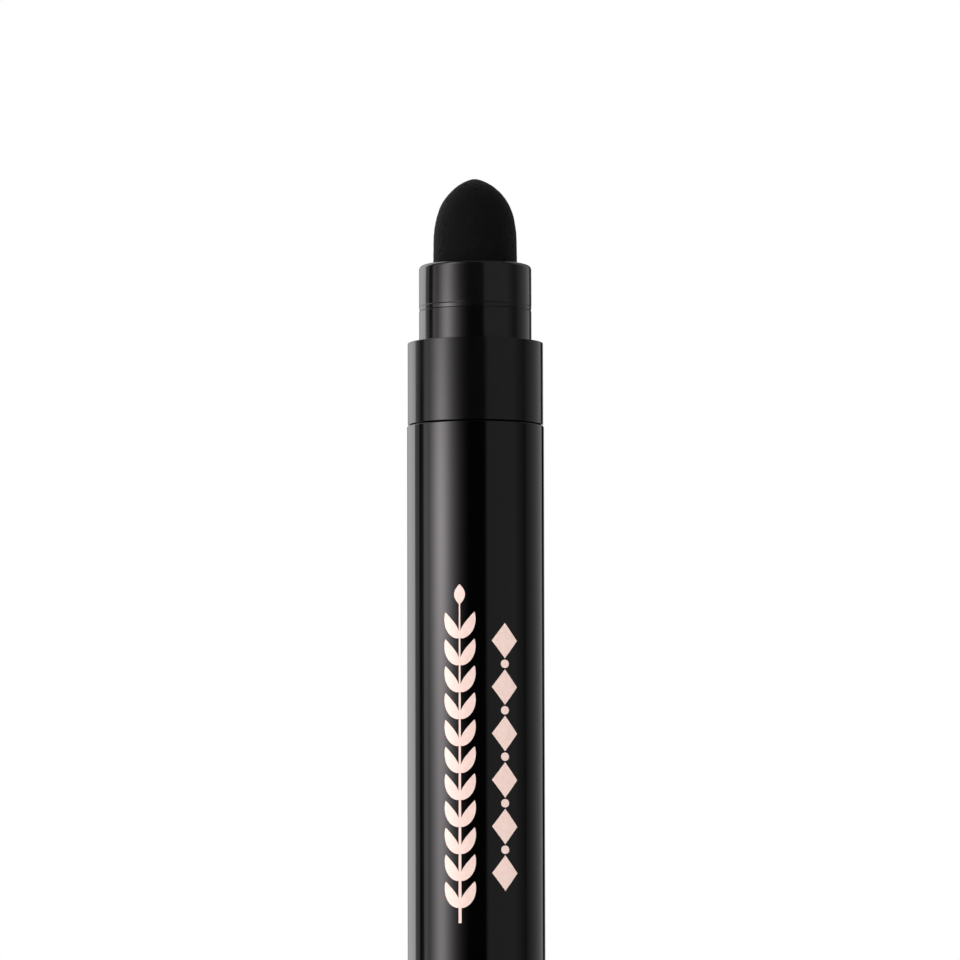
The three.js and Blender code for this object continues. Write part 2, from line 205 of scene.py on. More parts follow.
# ABS moulded in a polished tool: deep black, clear reflections with soft edges, a breath of haze
absPolish = {
    "ior": 1.53,
    "hazePatch": 4, "hazeLow": 0.3, "hazeHigh": 0.75,  # mm, and the span of noise that counts as haze
    "clean": 0.85, "handled": 1.3,  # times the roughness
    "swell": 1.2, "swellHigh": 0.001,  # mm, left by the tool's own polish
}


def polishedAbs(a, name, colour, worn, roughness, specular=0.5):
    material, tree = emptyMaterial(name)
    place = addNode(tree, "ShaderNodeTexCoord").outputs["Object"]
    haze = addNode(tree, "ShaderNodeTexNoise", {
        "Vector": place, "Scale": 1 / (a["hazePatch"] * mm), "Detail": 4})
    gloss = addNode(tree, "ShaderNodeMapRange", {
        "Value": haze.outputs["Fac"], "From Min": a["hazeLow"], "From Max": a["hazeHigh"],
        "To Min": roughness * a["clean"], "To Max": roughness * a["handled"]})
    tint = addNode(tree, "ShaderNodeMix", {
        "Factor": haze.outputs["Fac"], mixA: linear(colour), mixB: linear(worn)}, data_type="RGBA")
    swell = addNode(tree, "ShaderNodeTexNoise", {
        "Vector": place, "Scale": 1 / (a["swell"] * mm), "Detail": 1})
    bump = addNode(tree, "ShaderNodeBump", {
        "Height": swell.outputs["Fac"], "Strength": 1, "Distance": a["swellHigh"] * mm})
    shader = addNode(tree, "ShaderNodeBsdfPrincipled", {
        "Base Color": tint.outputs[mixOut], "Roughness": gloss.outputs[0], "IOR": a["ior"],
        "Specular IOR Level": specular, "Normal": bump.outputs[0]})
    addNode(tree, "ShaderNodeOutputMaterial", {"Surface": shader.outputs[0]})
    return material


# polypropylene moulded in a spark-eroded tool: fine even grain that breaks reflections to a satin
sparkGrain = {
    "low": "#0e0e0f", "high": "#161617", "ior": 1.49,
    "grain": 0.12, "grainHigh": 0.012,  # mm, twice the real 0.06 across so that it shows
    "smooth": 0.34, "rough": 0.5, "bump": 0.6,
}


def sparkedPolypropylene(g, name):
    material, tree = emptyMaterial(name)
    place = addNode(tree, "ShaderNodeTexCoord").outputs["Object"]
    grain = addNode(tree, "ShaderNodeTexNoise", {
        "Vector": place, "Scale": 1 / (g["grain"] * mm), "Detail": 2})
    tint = addNode(tree, "ShaderNodeMix", {
        "Factor": grain.outputs["Fac"], mixA: linear(g["low"]), mixB: linear(g["high"])},
        data_type="RGBA")
    gloss = addNode(tree, "ShaderNodeMapRange", {
        "Value": grain.outputs["Fac"], "To Min": g["smooth"], "To Max": g["rough"]})
    bump = addNode(tree, "ShaderNodeBump", {
        "Height": grain.outputs["Fac"], "Strength": g["bump"], "Distance": g["grainHigh"] * mm})
    shader = addNode(tree, "ShaderNodeBsdfPrincipled", {
        "Base Color": tint.outputs[mixOut], "Roughness": gloss.outputs[0], "IOR": g["ior"],
        "Normal": bump.outputs[0]})
    addNode(tree, "ShaderNodeOutputMaterial", {"Surface": shader.outputs[0]})
    return material


# natural acetal, moulded: milky white, faintly see-into, with flow streaks along the pencil
acetalMilk = {
    "low": "#d9d5c9", "high": "#ebe8df", "ior": 1.48,
    "streak": 0.8, "stretch": 8,  # mm wide, times as long
    "smooth": 0.32, "rough": 0.46,
    "depth": 0.25, "reach": (0.6, 0.55, 0.45),  # share of light that sinks in, mm in red, green, blue
}


def milkyAcetal(a, name):
    material, tree = emptyMaterial(name)
    place = addNode(tree, "ShaderNodeTexCoord").outputs["Object"]
    along = addNode(tree, "ShaderNodeMapping", {"Vector": place, "Scale": (1, 1, 1 / a["stretch"])})
    streaks = addNode(tree, "ShaderNodeTexNoise", {
        "Vector": along.outputs[0], "Scale": 1 / (a["streak"] * mm), "Detail": 3})
    tint = addNode(tree, "ShaderNodeMix", {
        "Factor": streaks.outputs["Fac"], mixA: linear(a["low"]), mixB: linear(a["high"])},
        data_type="RGBA")
    gloss = addNode(tree, "ShaderNodeMapRange", {
        "Value": streaks.outputs["Fac"], "To Min": a["smooth"], "To Max": a["rough"]})
    shader = addNode(tree, "ShaderNodeBsdfPrincipled", {
        "Base Color": tint.outputs[mixOut], "Roughness": gloss.outputs[0], "IOR": a["ior"],
        "Subsurface Weight": a["depth"], "Subsurface Radius": [r * mm for r in a["reach"]],
        "Subsurface Scale": 1})
    addNode(tree, "ShaderNodeOutputMaterial", {"Surface": shader.outputs[0]})
    return material


# nitrile rubber, moulded as a ring: matte charcoal with a dusty bloom
nitrileBloom = {
    "low": "#111111", "high": "#232323", "ior": 1.52,
    "patch": 0.5,  # mm
    "smooth": 0.5, "rough": 0.75,
}


def bloomedNitrile(b, name):
    material, tree = emptyMaterial(name)
    place = addNode(tree, "ShaderNodeTexCoord").outputs["Object"]
    bloom = addNode(tree, "ShaderNodeTexNoise", {
        "Vector": place, "Scale": 1 / (b["patch"] * mm), "Detail": 4})
    tint = addNode(tree, "ShaderNodeMix", {
        "Factor": bloom.outputs["Fac"], mixA: linear(b["low"]), mixB: linear(b["high"])},
        data_type="RGBA")
    gloss = addNode(tree, "ShaderNodeMapRange", {
        "Value": bloom.outputs["Fac"], "To Min": b["smooth"], "To Max": b["rough"]})
    shader = addNode(tree, "ShaderNodeBsdfPrincipled", {
        "Base Color": tint.outputs[mixOut], "Roughness": gloss.outputs[0], "IOR": b["ior"]})
    addNode(tree, "ShaderNodeOutputMaterial", {"Surface": shader.outputs[0]})
    return material


# polyurethane foam, cut and ground to a bullet: matte soft black, fine open cells, a faint velvet edge
foamCells = {
    "low": "#050505", "high": "#080808", "ior": 1.45, "roughness": 0.8, "specular": 0.13,
    "patch": 1.1,  # mm
    "cell": 0.14, "cellDeep": 0.03,  # mm; real cells are 0.08 across, drawn coarser so that they show
    # painted shade: the colour is darkened in the cell pits; painted highlight: it is lightened on their
    # rims
    "paintedPitShade": 0.6, "paintedRimHighlight": 1.1, "pitEdge": 0.55,  # times the colour, and where in a cell the rim is
    "bump": 0.5, "velvet": 0.02, "velvetSpread": 0.5,
}


def groundFoam(c, name):
    material, tree = emptyMaterial(name)
    place = addNode(tree, "ShaderNodeTexCoord").outputs["Object"]
    cells = addNode(tree, "ShaderNodeTexVoronoi", {"Vector": place, "Scale": 1 / (c["cell"] * mm)})
    patches = addNode(tree, "ShaderNodeTexNoise", {
        "Vector": place, "Scale": 1 / (c["patch"] * mm), "Detail": 3})
    tint = addNode(tree, "ShaderNodeMix", {
        "Factor": patches.outputs["Fac"], mixA: linear(c["low"]), mixB: linear(c["high"])},
        data_type="RGBA")
    # painted shade in the cell pits and a painted highlight on their rims, following the bump
    paintedCellShading = addNode(tree, "ShaderNodeMapRange", {
        "Value": cells.outputs["Distance"], "From Max": c["pitEdge"],
        "To Min": c["paintedPitShade"], "To Max": c["paintedRimHighlight"]})
    shade = addNode(tree, "ShaderNodeMix", {
        "Factor": 1, mixA: tint.outputs[mixOut], mixB: paintedCellShading.outputs[0]},
        data_type="RGBA", blend_type="MULTIPLY")
    bump = addNode(tree, "ShaderNodeBump", {
        "Height": cells.outputs["Distance"], "Strength": c["bump"], "Distance": c["cellDeep"] * mm})
    shader = addNode(tree, "ShaderNodeBsdfPrincipled", {
        "Base Color": shade.outputs[mixOut], "Roughness": c["roughness"], "IOR": c["ior"],
        "Specular IOR Level": c["specular"], "Sheen Weight": c["velvet"],
        "Sheen Roughness": c["velvetSpread"], "Normal": bump.outputs[0]})
    addNode(tree, "ShaderNodeOutputMaterial", {"Surface": shader.outputs[0]})
    return material


# pigmented wax lead, extruded: soft black with a waxy lustre and fine draw lines along it
waxLines = {
    "low": "#0b0a0c", "high": "#151316", "ior": 1.44,
    "line": 0.1, "lineDeep": 0.01, "stretch": 30,  # mm apart, mm deep, times as long
    "smooth": 0.38, "rough": 0.55, "bump": 0.4,
}


def extrudedWax(w, name):
    material, tree = emptyMaterial(name)
    place = addNode(tree, "ShaderNodeTexCoord").outputs["Object"]
    along = addNode(tree, "ShaderNodeMapping", {"Vector": place, "Scale": (1, 1, 1 / w["stretch"])})
    lines = addNode(tree, "ShaderNodeTexNoise", {
        "Vector": along.outputs[0], "Scale": 1 / (w["line"] * mm), "Detail": 2})
    tint = addNode(tree, "ShaderNodeMix", {
        "Factor": lines.outputs["Fac"], mixA: linear(w["low"]), mixB: linear(w["high"])},
        data_type="RGBA")
    gloss = addNode(tree, "ShaderNodeMapRange", {
        "Value": lines.outputs["Fac"], "To Min": w["smooth"], "To Max": w["rough"]})
    bump = addNode(tree, "ShaderNodeBump", {
        "Height": lines.outputs["Fac"], "Strength": w["bump"], "Distance": w["lineDeep"] * mm})
    shader = addNode(tree, "ShaderNodeBsdfPrincipled", {
        "Base Color": tint.outputs[mixOut], "Roughness": gloss.outputs[0], "IOR": w["ior"],
        "Normal": bump.outputs[0]})
    addNode(tree, "ShaderNodeOutputMaterial", {"Surface": shader.outputs[0]})
    return material


# rose-gold foil, hot-stamped: pale pink satin metal, slightly mottled where the stamp pressed unevenly
foilMottle = {
    "low": "#f3d1c5", "high": "#fde7df", "metallic": 0.45,
    "mottle": 0.25,  # mm
    "smooth": 0.5, "rough": 0.66,
}


def stampedFoil(m, name):
    material, tree = emptyMaterial(name)
    place = addNode(tree, "ShaderNodeTexCoord").outputs["Object"]
    mottle = addNode(tree, "ShaderNodeTexNoise", {
        "Vector": place, "Scale": 1 / (m["mottle"] * mm), "Detail": 3})
    tint = addNode(tree, "ShaderNodeMix", {
        "Factor": mottle.outputs["Fac"], mixA: linear(m["low"]), mixB: linear(m["high"])},
        data_type="RGBA")
    gloss = addNode(tree, "ShaderNodeMapRange", {
        "Value": mottle.outputs["Fac"], "To Min": m["smooth"], "To Max": m["rough"]})
    shader = addNode(tree, "ShaderNodeBsdfPrincipled", {
        "Base Color": tint.outputs[mixOut], "Roughness": gloss.outputs[0], "Metallic": m["metallic"]})
    addNode(tree, "ShaderNodeOutputMaterial", {"Surface": shader.outputs[0]})
    return material


barrelAbs = polishedAbs(
    absPolish, "black ABS, polished barrel", "#010101", "#030303", roughness=0.08)
collarAbs = polishedAbs(
    absPolish, "black ABS, polished collar", "#050505", "#070707", roughness=0.14, specular=0.41)
# the holder's black is set darker than the ferrule's: painted shade for the darkening that the collar's
# ledge brings to the lower spigot
shadedHolderAbs = polishedAbs(
    absPolish, "black ABS, polished holder", "#040404", "#060606", roughness=0.12)
ferruleAbs = polishedAbs(
    absPolish, "black ABS, polished ferrule", "#080808", "#0b0b0b", roughness=0.12, specular=0.46)
satinPolypropylene = sparkedPolypropylene(sparkGrain, "black polypropylene, spark-grained")
acetal = milkyAcetal(acetalMilk, "natural acetal, moulded")
nitrile = bloomedNitrile(nitrileBloom, "black nitrile rubber, moulded")
foam = groundFoam(foamCells, "black polyurethane foam, ground")
wax = extrudedWax(waxLines, "black wax lead, extruded")
foil = stampedFoil(foilMottle, "rose-gold foil, hot-stamped")
print("materials made")


# Barrel, with a low land on its upper end that the collar turns on and that closes the seam to light
barrelTube = {
    "wall": 0.95, "edge": 0.05,  # mm
    "landIn": 0.1, "landRise": 0.08,
}


def makeBarrel(b):
    radius, low, high = spanOf("barrel_tube")
    bore = radius - b["wall"]
    land = radius - b["landIn"]
    landTop = high + b["landRise"]
    wall = roundCorners([
        (bore, low, 0), (radius, low, b["edge"]), (radius, high, b["edge"]), (land, high, 0),
        (land - b["landRise"], landTop, 0), (bore, landTop, 0)])
    dress(turnedPiece("barrelTube", wall), barrelAbs, "barrel", "gloss_black", "barrel_tube")


makeBarrel(barrelTube)


# Twist collar
twistCollar = {"stemHole": 2.95, "bore": 3.75, "floor": 1.0, "footEdge": 0.04, "topEdge": 0.04}  # mm


def makeCollar(c):
    radius, low, high = spanOf("twist_collar")
    floor = low + c["floor"]
    wall = roundCorners([
        (c["stemHole"], low, 0), (radius, low, c["footEdge"]), (radius, high, c["topEdge"]),
        (c["bore"], high, 0), (c["bore"], floor, 0), (c["stemHole"], floor, 0)])
    dress(turnedPiece("twistCollar", wall), collarAbs, "twist_knob", "gloss_black", "twist_collar")


makeCollar(twistCollar)


# Smudger holder: stem in the barrel, lower part of the spigot, socket for the foam
smudgerHolder = {
    "stemRadius": 2.9, "stemBore": 1.79, "stemSocket": 5.0, "stemEdge": 0.2,  # mm
    "beadLow": 3.3, "beadHigh": 4.1, "beadRise": 0.18,  # heights above the stem's lower end
    "ringLow": 7.3, "ringHigh": 8.1, "ringDepth": 0.5,
    "shoulderUp": 11.13, "spigotUp": 17.58, "lineEdge": 0.02,
    "neckRadius": 3.2, "foamSocket": 2.83, "socketUp": 16.84,
    "edge": 0.05, "socketEdge": 0.1,
}


def makeHolder(h):
    radius, low, high = spanOf("smudger_holder")
    stem, edge = h["stemRadius"], h["edge"]
    bead, groove = stem + h["beadRise"], stem - h["ringDepth"]
    beadLow, beadHigh = low + h["beadLow"], low + h["beadHigh"]
    ringLow, ringHigh = low + h["ringLow"], low + h["ringHigh"]
    stemTop, spigotTop = low + h["shoulderUp"], low + h["spigotUp"]
    stemFloor, foamFloor = low + h["stemSocket"], low + h["socketUp"]
    wall = roundCorners([
        (0, stemFloor, 0), (h["stemBore"], stemFloor, 0), (h["stemBore"], low, 0),
        (stem, low, h["stemEdge"]), (stem, beadLow, 0), (bead, beadLow + h["beadRise"], edge),
        (bead, beadHigh, edge), (stem, beadHigh, 0), (stem, ringLow, edge), (groove, ringLow, 0),
        (groove, ringHigh, 0), (stem, ringHigh, edge), (stem, stemTop, 0), (radius, stemTop, edge),
        (radius, spigotTop, h["lineEdge"]), (h["neckRadius"], spigotTop, 0),
        (h["neckRadius"], high, edge), (h["foamSocket"], high, edge),
        (h["foamSocket"], foamFloor, h["socketEdge"]), (0, foamFloor, 0)])
    piece = turnedPiece("smudgerHolder", wall, closed=False)
    dress(piece, shadedHolderAbs, "twist_knob", "gloss_black", "smudger_holder")


makeHolder(smudgerHolder)


# Tip ferrule: upper part of the spigot, with a turned line and below it a ring that narrows to its foot
tipFerrule = {
    "wall": 0.45, "lip": 0.6, "lipBore": 2.83, "lipEdge": 0.05, "round": 0.3,  # mm
    "lineRise": 0.28, "lineHalf": 0.035, "lineDepth": 0.03, "lineEdge": 0.01,
    "lean": 0.033, "footEdge": 0.02,
}


def makeFerrule(f):
    radius, low, high = spanOf("tip_ferrule")
    bore = radius - f["wall"]
    line = low + f["lineRise"]
    lipFoot = high - f["lip"]
    wall = roundCorners([
        (bore, low, 0), (radius - f["lean"], low, f["footEdge"]),
        (radius, line - f["lineHalf"], f["lineEdge"]), (radius - f["lineDepth"], line, 0),
        (radius, line + f["lineHalf"], f["lineEdge"]), (radius, high, f["round"]),
        (f["lipBore"], high, f["lipEdge"]), (f["lipBore"], lipFoot, 0), (bore, lipFoot, 0)])
    dress(turnedPiece("tipFerrule", wall), ferruleAbs, "twist_knob", "gloss_black", "tip_ferrule")


makeFerrule(tipFerrule)
print("barrel, collar and spigot made")


# Foam smudger: straight flanks that round over to a blunt point, uneven as ground foam is
foamTip = {
    "above": 5.77, "flank": 3.7, "nose": 0.68,  # mm above the spigot, and the two powers of its outline
    "outlineSteps": 400,  # points of the outline before they are spaced evenly
    "spacing": 0.07, "sides": 250,  # mm between mesh points, and points round it
    "footEdge": 0.1,  # mm
    "lumpSize": 1.3, "lumpRise": 0.025, "settle": 0.03,  # mm, slow unevenness of the grinding
    "grainSize": 0.22, "grainRise": 0.012,  # mm, cut cell walls
    "poreSpacing": 0.7, "poreRadius": 0.12, "poreDepth": 0.08,  # mm, larger open cells
    "fadeBelow": 0.3, "fadeOver": 0.6,  # mm, the unevenness fades out inside the socket
    "domeShare": 0.6, "domeLean": 0.6,  # upper share that is roughened upwards too, and how steeply
}


def makeFoam(f):
    radius, low, high = spanOf("smudger_tip")
    spigot = high - f["above"]
    outline = []
    for part in shares(f["outlineSteps"]):
        rise = 1 - (1 - part) ** 2
        across = radius * (1 - rise ** f["flank"]) ** f["nose"] if part < 1 else 0
        outline.append(Vector((across, spigot + rise * f["above"])))
    foot = f["footEdge"]
    wall = [Vector((0, low)), Vector((radius - foot, low)), Vector((radius, low + foot))]
    wall += evenPoints(outline, f["spacing"])

    def roughen(p):
        show = min(1, max(0, (p.z - spigot + f["fadeBelow"]) / f["fadeOver"]))
        dome = max(0, p.z - high + f["domeShare"] * f["above"])
        out = Vector((p.x, p.y, dome * f["domeLean"]))
        out = out.normalized() if out.length > 0 else Vector((0, 0, 1))
        lump = noise.noise(p / f["lumpSize"]) * f["lumpRise"]
        grain = noise.noise(p / f["grainSize"]) * f["grainRise"]
        near = noise.voronoi(p / f["poreSpacing"])[0][0] * f["poreSpacing"]
        pore = max(0, 1 - (near / f["poreRadius"]) ** 2) * f["poreDepth"]
        return p + out * show * (lump + grain - pore - f["settle"])

    piece = turnedPiece("foamTip", wall, closed=False, sides=f["sides"], shape=roughen)
    piece.modifiers.clear()  # foam is shaded smooth all over
    for edge in piece.data.edges:
        edge.use_edge_sharp = False
    dress(piece, foam, "twist_knob", "black_foam", "smudger_tip")


makeFoam(foamTip)
print("foam made")


# Lead cap: shell, inner liner and end plug
leadCap = {
    "shellWall": 0.65, "endRound": 0.5, "edge": 0.06, "endWall": 1.0, "endLip": 0.65,  # mm
    "holeEdge": 0.06, "mouthEdge": 0.08, "roundSteps": 10,
    "linerWall": 0.4, "linerFloor": 0.6, "linerLeadIn": 0.2,
    "linerFootEdge": 0.1, "linerRimEdge": 0.05, "linerLipEdge": 0.04, "linerThroat": 0.1,
    "linerCorner": 0.3,
    "plugGap": 0.05, "plugStep": 1.03, "gateRadius": 0.5, "gateDepth": 0.12, "gateFlare": 0.1,
    "plugRim": 0.06, "plugEdge": 0.05,
}


def makeCap(c):
    radius, low, high = spanOf("cap_shell")
    bore = radius - c["shellWall"]
    hole = bore - c["endLip"]
    floor = low + c["endWall"]
    wall = roundCorners([
        (hole, low, c["holeEdge"]), (radius, low, c["endRound"]), (radius, high, c["edge"]),
        (bore, high, c["mouthEdge"]), (bore, floor, 0), (hole, floor, 0)], steps=c["roundSteps"])
    dress(turnedPiece("capShell", wall), barrelAbs, "lead_cap", "gloss_black", "cap_shell")

    radius, low, high = spanOf("cap_liner")
    bore = radius - c["linerWall"]
    floor = low + c["linerFloor"]
    wall = roundCorners([
        (0, low, 0), (radius, low, c["linerFootEdge"]), (radius, high, c["linerRimEdge"]),
        (bore + c["linerLeadIn"], high, c["linerLipEdge"]),
        (bore, high - c["linerLeadIn"], c["linerThroat"]), (bore, floor, c["linerCorner"]),
        (0, floor, 0)])
    dress(turnedPiece("capLiner", wall, closed=False), acetal, "lead_cap", "natural_acetal", "cap_liner")

    radius, low, high = spanOf("cap_end_plug")
    disc, gate = hole - c["plugGap"], c["gateRadius"]
    gateFloor, step = low + c["gateDepth"], low + c["plugStep"]
    edge = c["plugEdge"]
    wall = roundCorners([
        (0, gateFloor, 0), (gate, gateFloor, edge), (gate + c["gateFlare"], low, edge),
        (disc, low, c["plugRim"]), (disc, step, 0), (radius, step, edge), (radius, high, edge),
        (0, high, 0)])
    piece = turnedPiece("capEndPlug", wall, closed=False)
    dress(piece, satinPolypropylene, "lead_cap", "satin_black", "cap_end_plug")


makeCap(leadCap)


# Nose, neck, sealing ring and lead, which show when the pencil is pulled from its cap
noseEnd = {
    "leadHole": 1.3, "holeEdge": 0.08, "tipRadius": 1.9, "tipRound": 0.3,  # mm
    "tipLand": 2.5, "funnel": 0.6, "bore": 1.85, "socketBore": 2.55, "socketUp": 8.0,
    "straightUp": 7.4, "shoulder": 1.5, "rearEdge": 0.06, "roundSteps": 8,
    "neckRadius": 3.2, "neckWall": 0.65, "neckLength": 7.0, "neckEdge": 0.25, "insertEdge": 0.1,
    "grooveMiddle": 3.2, "grooveWidth": 0.7, "grooveDepth": 0.35, "grooveEdge": 0.06,
    "ringInner": 2.88, "ringPoints": 24,
    "pointRadius": 0.35, "pointLength": 2.0, "pointEdge": 0.2,
    "leadShoulder": 0.6, "leadEdge": 0.05, "leadSides": 96,
}


def makeNose(n):
    radius, low, high = spanOf("nose_cone")
    socket, land = low + n["socketUp"], low + n["tipLand"]
    wall = roundCorners([
        (n["leadHole"], low, n["holeEdge"]), (n["tipRadius"], low, n["tipRound"]),
        (radius, low + n["straightUp"], n["shoulder"]), (radius, high, n["rearEdge"]),
        (n["socketBore"], high, 0), (n["socketBore"], socket, 0), (n["bore"], socket, 0),
        (n["bore"], land + n["funnel"], 0), (n["leadHole"], land, 0)], steps=n["roundSteps"])
    dress(turnedPiece("noseCone", wall), barrelAbs, "barrel", "gloss_black", "nose_cone")

    insert, low, high = spanOf("neck_sleeve")
    radius = n["neckRadius"]
    bore, floor = radius - n["neckWall"], radius - n["grooveDepth"]
    grooveLow = low + n["grooveMiddle"] - n["grooveWidth"] / 2
    grooveHigh = grooveLow + n["grooveWidth"]
    step = low + n["neckLength"]
    wall = roundCorners([
        (bore, low, 0), (radius, low, n["neckEdge"]), (radius, grooveLow, n["grooveEdge"]),
        (floor, grooveLow, 0), (floor, grooveHigh, 0), (radius, grooveHigh, n["grooveEdge"]),
        (radius, step, n["insertEdge"]), (insert, step, 0), (insert, high, n["insertEdge"]),
        (bore, high, 0)])
    dress(turnedPiece("neckSleeve", wall), satinPolypropylene, "barrel", "satin_black", "neck_sleeve")

    outer, low, high = spanOf("neck_o_ring")
    section = (outer - n["ringInner"]) / 2
    centre = Vector((outer - section, (low + high) / 2))
    turns = [2 * math.pi * i / n["ringPoints"] for i in range(n["ringPoints"])]
    wall = [centre + Vector((math.cos(t), math.sin(t))) * section for t in turns]
    dress(turnedPiece("neckRing", wall), nitrile, "barrel", "black_rubber", "neck_o_ring")

    radius, low, high = spanOf("lead")
    wall = roundCorners([
        (0, low, 0), (n["pointRadius"], low, n["pointEdge"]),
        (radius, low + n["pointLength"], n["leadShoulder"]), (radius, high, n["leadEdge"]),
        (0, high, 0)])
    piece = turnedPiece("waxLead", wall, closed=False, sides=n["leadSides"])
    dress(piece, wax, "lead_carriage", "black_lead", "lead")


makeNose(noseEnd)
print("cap, nose and lead made")


# Foil ornament where a pencil of this kind is printed: a leaf spray and a row of lozenges
foilPrint = {
    "proud": 0.02, "sunk": 0.03, "lift": 0.004,  # mm above and below the barrel, leaves above the stem
    "acrossPoints": 7, "leastHalf": 0.004,  # points across a stroke, so that it hugs the curve, and mm
    "spray": {
        "across": -1.07, "low": 87.9, "high": 109.9,  # mm round from the front, mm up the pencil
        "stem": 0.2, "stemTaper": 0.6, "stemSteps": 40,
        "leafLong": 1.95, "leafWide": 0.36, "leafSteps": 16, "skew": 0.8, "plump": 0.8,
        "firstLeaf": 1.0, "pitch": 1.75, "rootApart": 0.02, "budLong": 1.3,
        "lean": 45, "curl": 0.35,  # degrees, and the share by which leaves curl up towards their points
    },
    "row": {
        "across": 1.93, "low": 90.0, "high": 107.4, "count": 6,
        "lozengeLong": 2.3, "lozengeWide": 1.8, "lozengeSteps": 24,
        "dot": 0.28, "dotSteps": 12,
    },
}


# a stroke follows flat (across, up) points in mm, with a half width at each, and wraps round the barrel
def addStroke(f, bm, points, halfWidths, lift=0.0):
    barrelRadius = spanOf("barrel_tube")[0]
    middle = (f["acrossPoints"] - 1) / 2
    spread = [1 - k / middle for k in range(f["acrossPoints"])]
    rim = [(x, f["proud"] + lift) for x in spread] + [(x, -f["sunk"]) for x in spread[::-1]]
    sections = []
    for i, here in enumerate(points):
        along = (points[min(i + 1, len(points) - 1)] - points[max(i - 1, 0)]).normalized()
        side = Vector((-along.y, along.x)) * max(halfWidths[i], f["leastHalf"])
        section = []
        for across, rise in rim:
            spot = here + side * across
            angle = spot.x / barrelRadius
            reach = barrelRadius + rise
            place = Vector((reach * math.sin(angle), -reach * math.cos(angle), spot.y))
            section.append(bm.verts.new(place * mm))
        sections.append(section)
    for below, above in zip(sections, sections[1:]):
        for i in range(len(rim)):
            j = (i + 1) % len(rim)
            bm.faces.new((below[i], below[j], above[j], above[i]))
    for end in (sections[0], sections[-1]):
        for i in range(f["acrossPoints"] - 1):
            bm.faces.new((end[i], end[i + 1], end[-2 - i], end[-1 - i]))


def addSpray(f, bm):
    s = f["spray"]
    foot, tip = Vector((s["across"], s["low"])), Vector((s["across"], s["high"]))
    stem = shares(s["stemSteps"])
    addStroke(f, bm, [foot.lerp(tip, part) for part in stem],
              [s["stem"] / 2 * (1 - s["stemTaper"] * part) for part in stem])
    along = shares(s["leafSteps"])
    lean = math.radians(s["lean"])
    level = s["low"] + s["firstLeaf"]
    while level < s["high"] - s["leafLong"]:
        for hand in (-1, 1):
            root = Vector((s["across"] + hand * s["rootApart"], level))
            leaf, widths = [], []
            for part in along:
                bend = lean * (1 - s["curl"] * part)
                out = Vector((hand * math.sin(bend), math.cos(bend)))
                leaf.append(root + out * part * s["leafLong"])
                widths.append(s["leafWide"] * math.sin(math.pi * part ** s["skew"]) ** s["plump"])
            addStroke(f, bm, leaf, widths, lift=f["lift"])
        level += s["pitch"]
    budFoot = tip - Vector((0, s["budLong"]))
    budWidths = [s["leafWide"] * math.sin(math.pi * part) ** s["plump"] for part in along]
    addStroke(f, bm, [tip.lerp(budFoot, part) for part in along], budWidths, lift=f["lift"])


def addRow(f, bm):
    r = f["row"]
    half = Vector((r["lozengeWide"], r["lozengeLong"])) / 2
    pitch = (r["high"] - r["low"] - r["lozengeLong"]) / (r["count"] - 1)
    lozenge = [2 * part - 1 for part in shares(r["lozengeSteps"])]
    dot = [2 * part - 1 for part in shares(r["dotSteps"])]
    for k in range(r["count"]):
        middle = Vector((r["across"], r["low"] + half.y + k * pitch))
        addStroke(f, bm, [middle + Vector((0, half.y * up)) for up in lozenge],
                  [half.x * (1 - abs(up)) for up in lozenge])
        if k < r["count"] - 1:
            spot = middle + Vector((0, pitch / 2))
            addStroke(f, bm, [spot + Vector((0, r["dot"] * up)) for up in dot],
                      [r["dot"] * math.sqrt(1 - up ** 2) for up in dot])


def makeFoil(f):
    bm = bmesh.new()
    addSpray(f, bm)
    addRow(f, bm)
    bmesh.ops.recalc_face_normals(bm, faces=bm.faces)
    dress(pieceFrom("foilPrint", bm), foil, "barrel", "rose_gold_foil")


makeFoil(foilPrint)
print("foil made")


# inner pieces keep their solids
innerFinish = {
    "guide_tube": acetal, "sleeve_stop_ring": acetal, "rear_bush": acetal, "spiral_sleeve": acetal,
    "drive_tube": acetal, "push_rod": acetal, "lead_cup": acetal, "damping_o_ring": nitrile,
}
for node, finish in innerFinish.items():
    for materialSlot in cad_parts[node].material_slots:
        materialSlot.material = finish
print("inner pieces finished")


